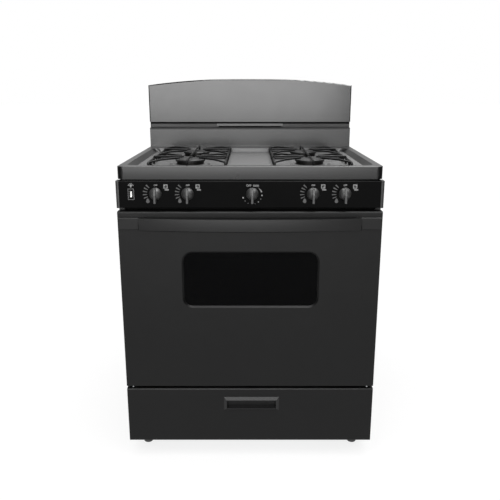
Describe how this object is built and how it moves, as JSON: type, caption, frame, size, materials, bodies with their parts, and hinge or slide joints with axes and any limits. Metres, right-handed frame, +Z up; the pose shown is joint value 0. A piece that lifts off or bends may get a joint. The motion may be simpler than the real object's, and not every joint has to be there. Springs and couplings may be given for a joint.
{
  "type": "freestanding gas range",
  "caption": "Freestanding black gas range with a drop-down windowed oven door, a pull-out drawer, wire grates over sealed burners, front push-and-turn knobs and a low arched backguard.",
  "frame": {"origin": "middle of the bounding box at floor level", "axes": "+X to the range's right as seen from the front, +Y to the rear so that the door faces -Y, +Z up"},
  "size_m": [0.762, 0.7309, 1.162],
  "materials": {
    "black_enamel": "gloss",
    "black_gloss_panel": "gloss",
    "grate_enamel": "satin",
    "galvanised_steel": "satin",
    "oven_enamel": "satin",
    "glass_wool": "matte",
    "burner_steel": "satin",
    "silicon_carbide": "matte",
    "white_ceramic": "gloss",
    "lamp_glass": "gloss",
    "cast_aluminium": "satin",
    "cap_enamel": "satin",
    "aluminium_tube": "satin",
    "valve_brass": "satin",
    "black_plastic": "gloss",
    "white_plastic": "gloss",
    "dark_window": "gloss",
    "clear_glass": "gloss",
    "glass_fibre_seal": "matte",
    "rack_chrome": "polished",
    "screw_steel": "satin",
    "stem_steel": "satin",
    "foot_plastic": "satin"
  },
  "bodies": {
    "range_body": {"left_side_panel": "black_enamel", "right_side_panel": "black_enamel", "rear_panel": "galvanised_steel", "base_frame": "galvanised_steel", "levelling_legs": "foot_plastic", "oven_liner": "oven_enamel", "oven_insulation": "glass_wool", "oven_floor": "oven_enamel", "oven_burner": "burner_steel", "oven_igniter": "silicon_carbide", "oven_lamp": "lamp_glass", "cooktop": "black_enamel", "burner_heads": "cast_aluminium", "burner_caps": "cap_enamel", "spark_electrodes": "white_ceramic", "burner_valves": "valve_brass", "burner_tubes": "aluminium_tube", "gas_manifold": "burner_steel", "oven_thermostat": "cast_aluminium", "pressure_regulator": "cast_aluminium", "control_panel": "black_gloss_panel", "panel_end_caps": "black_enamel", "switch_housing": "black_plastic", "backguard": "black_enamel", "backguard_skirt": "black_enamel", "vent_louvre": "black_enamel", "flue_duct": "galvanised_steel", "drawer_rails": "galvanised_steel", "hinge_brackets": "galvanised_steel", "hinge_pins": "stem_steel", "cord_gland": "galvanised_steel", "body_screws": "screw_steel"},
    "oven_door": {"door_panel": "black_enamel", "door_window": "dark_window", "door_inner_panel": "oven_enamel", "door_inner_glass": "clear_glass", "door_gasket": "glass_fibre_seal", "door_handle": "black_enamel", "handle_screws": "screw_steel", "door_hinge_channels": "galvanised_steel"},
    "drawer": {"drawer_front": "black_enamel", "drawer_box": "galvanised_steel", "drawer_pull": "black_plastic"},
    "rocker": {"light_rocker": "white_plastic"},
    "rack_lower": {"oven_rack_lower": "rack_chrome"},
    "rack_upper": {"oven_rack_upper": "rack_chrome"},
    "grate_left_front": {"grate_left_front": "grate_enamel"},
    "grate_left_rear": {"grate_left_rear": "grate_enamel"},
    "grate_right_front": {"grate_right_front": "grate_enamel"},
    "grate_right_rear": {"grate_right_rear": "grate_enamel"},
    "stem_left_rear": {"stem_left_rear": "stem_steel"},
    "knob_left_rear": {"knob_left_rear": "black_plastic"},
    "stem_left_front": {"stem_left_front": "stem_steel"},
    "knob_left_front": {"knob_left_front": "black_plastic"},
    "stem_oven": {"stem_oven": "stem_steel"},
    "knob_oven": {"knob_oven": "black_plastic"},
    "stem_right_front": {"stem_right_front": "stem_steel"},
    "knob_right_front": {"knob_right_front": "black_plastic"},
    "stem_right_rear": {"stem_right_rear": "stem_steel"},
    "knob_right_rear": {"knob_right_rear": "black_plastic"}
  },
  "joints": [
    {"name": "door_hinge", "type": "hinge", "parent": "range_body", "child": "oven_door", "pos_m": [0, -0.3095, 0.256], "axis": [1, 0, 0], "range_deg": [0, 90], "stiffness_Nm_per_rad": 14, "springref_deg": -20.05},
    {"name": "drawer_slide", "type": "slide", "parent": "range_body", "child": "drawer", "axis": [0, -1, 0], "range_m": [0, 0.36]},
    {"name": "light_switch", "type": "hinge", "parent": "range_body", "child": "rocker", "pos_m": [-0.3372, -0.3096, 0.8385], "axis": [1, 0, 0], "range_deg": [0, 16]},
    {"name": "rack_lower_slide", "type": "slide", "parent": "range_body", "child": "rack_lower", "axis": [0, -1, 0], "range_m": [0, 0.03]},
    {"name": "rack_upper_slide", "type": "slide", "parent": "range_body", "child": "rack_upper", "axis": [0, -1, 0], "range_m": [0, 0.03]},
    {"name": "grate_left_front_lift", "type": "slide", "parent": "range_body", "child": "grate_left_front", "axis": [0, 0, 1], "range_m": [0, 0.06]},
    {"name": "grate_left_rear_lift", "type": "slide", "parent": "range_body", "child": "grate_left_rear", "axis": [0, 0, 1], "range_m": [0, 0.06]},
    {"name": "grate_right_front_lift", "type": "slide", "parent": "range_body", "child": "grate_right_front", "axis": [0, 0, 1], "range_m": [0, 0.06]},
    {"name": "grate_right_rear_lift", "type": "slide", "parent": "range_body", "child": "grate_right_rear", "axis": [0, 0, 1], "range_m": [0, 0.06]},
    {"name": "left_rear_turn", "type": "hinge", "parent": "range_body", "child": "stem_left_rear", "pos_m": [-0.2675, -0.3235, 0.84], "axis": [0, -1, 0], "range_deg": [0, 150]},
    {"name": "left_rear_push", "type": "slide", "parent": "stem_left_rear", "child": "knob_left_rear", "axis": [0, 1, 0], "range_m": [0, 0.0035], "stiffness_N_per_m": 500, "springref_m": -0.003},
    {"name": "left_front_turn", "type": "hinge", "parent": "range_body", "child": "stem_left_front", "pos_m": [-0.1765, -0.3235, 0.84], "axis": [0, -1, 0], "range_deg": [0, 150]},
    {"name": "left_front_push", "type": "slide", "parent": "stem_left_front", "child": "knob_left_front", "axis": [0, 1, 0], "range_m": [0, 0.0035], "stiffness_N_per_m": 500, "springref_m": -0.003},
    {"name": "oven_turn", "type": "hinge", "parent": "range_body", "child": "stem_oven", "pos_m": [0.0064, -0.3235, 0.84], "axis": [0, 1, 0], "range_deg": [0, 245]},
    {"name": "oven_push", "type": "slide", "parent": "stem_oven", "child": "knob_oven", "axis": [0, 1, 0], "range_m": [0, 0.0035], "stiffness_N_per_m": 500, "springref_m": -0.003},
    {"name": "right_front_turn", "type": "hinge", "parent": "range_body", "child": "stem_right_front", "pos_m": [0.1785, -0.3235, 0.84], "axis": [0, -1, 0], "range_deg": [0, 150]},
    {"name": "right_front_push", "type": "slide", "parent": "stem_right_front", "child": "knob_right_front", "axis": [0, 1, 0], "range_m": [0, 0.0035], "stiffness_N_per_m": 500, "springref_m": -0.003},
    {"name": "right_rear_turn", "type": "hinge", "parent": "range_body", "child": "stem_right_rear", "pos_m": [0.269, -0.3235, 0.84], "axis": [0, -1, 0], "range_deg": [0, 150]},
    {"name": "right_rear_push", "type": "slide", "parent": "stem_right_rear", "child": "knob_right_rear", "axis": [0, 1, 0], "range_m": [0, 0.0035], "stiffness_N_per_m": 500, "springref_m": -0.003}
  ]
}
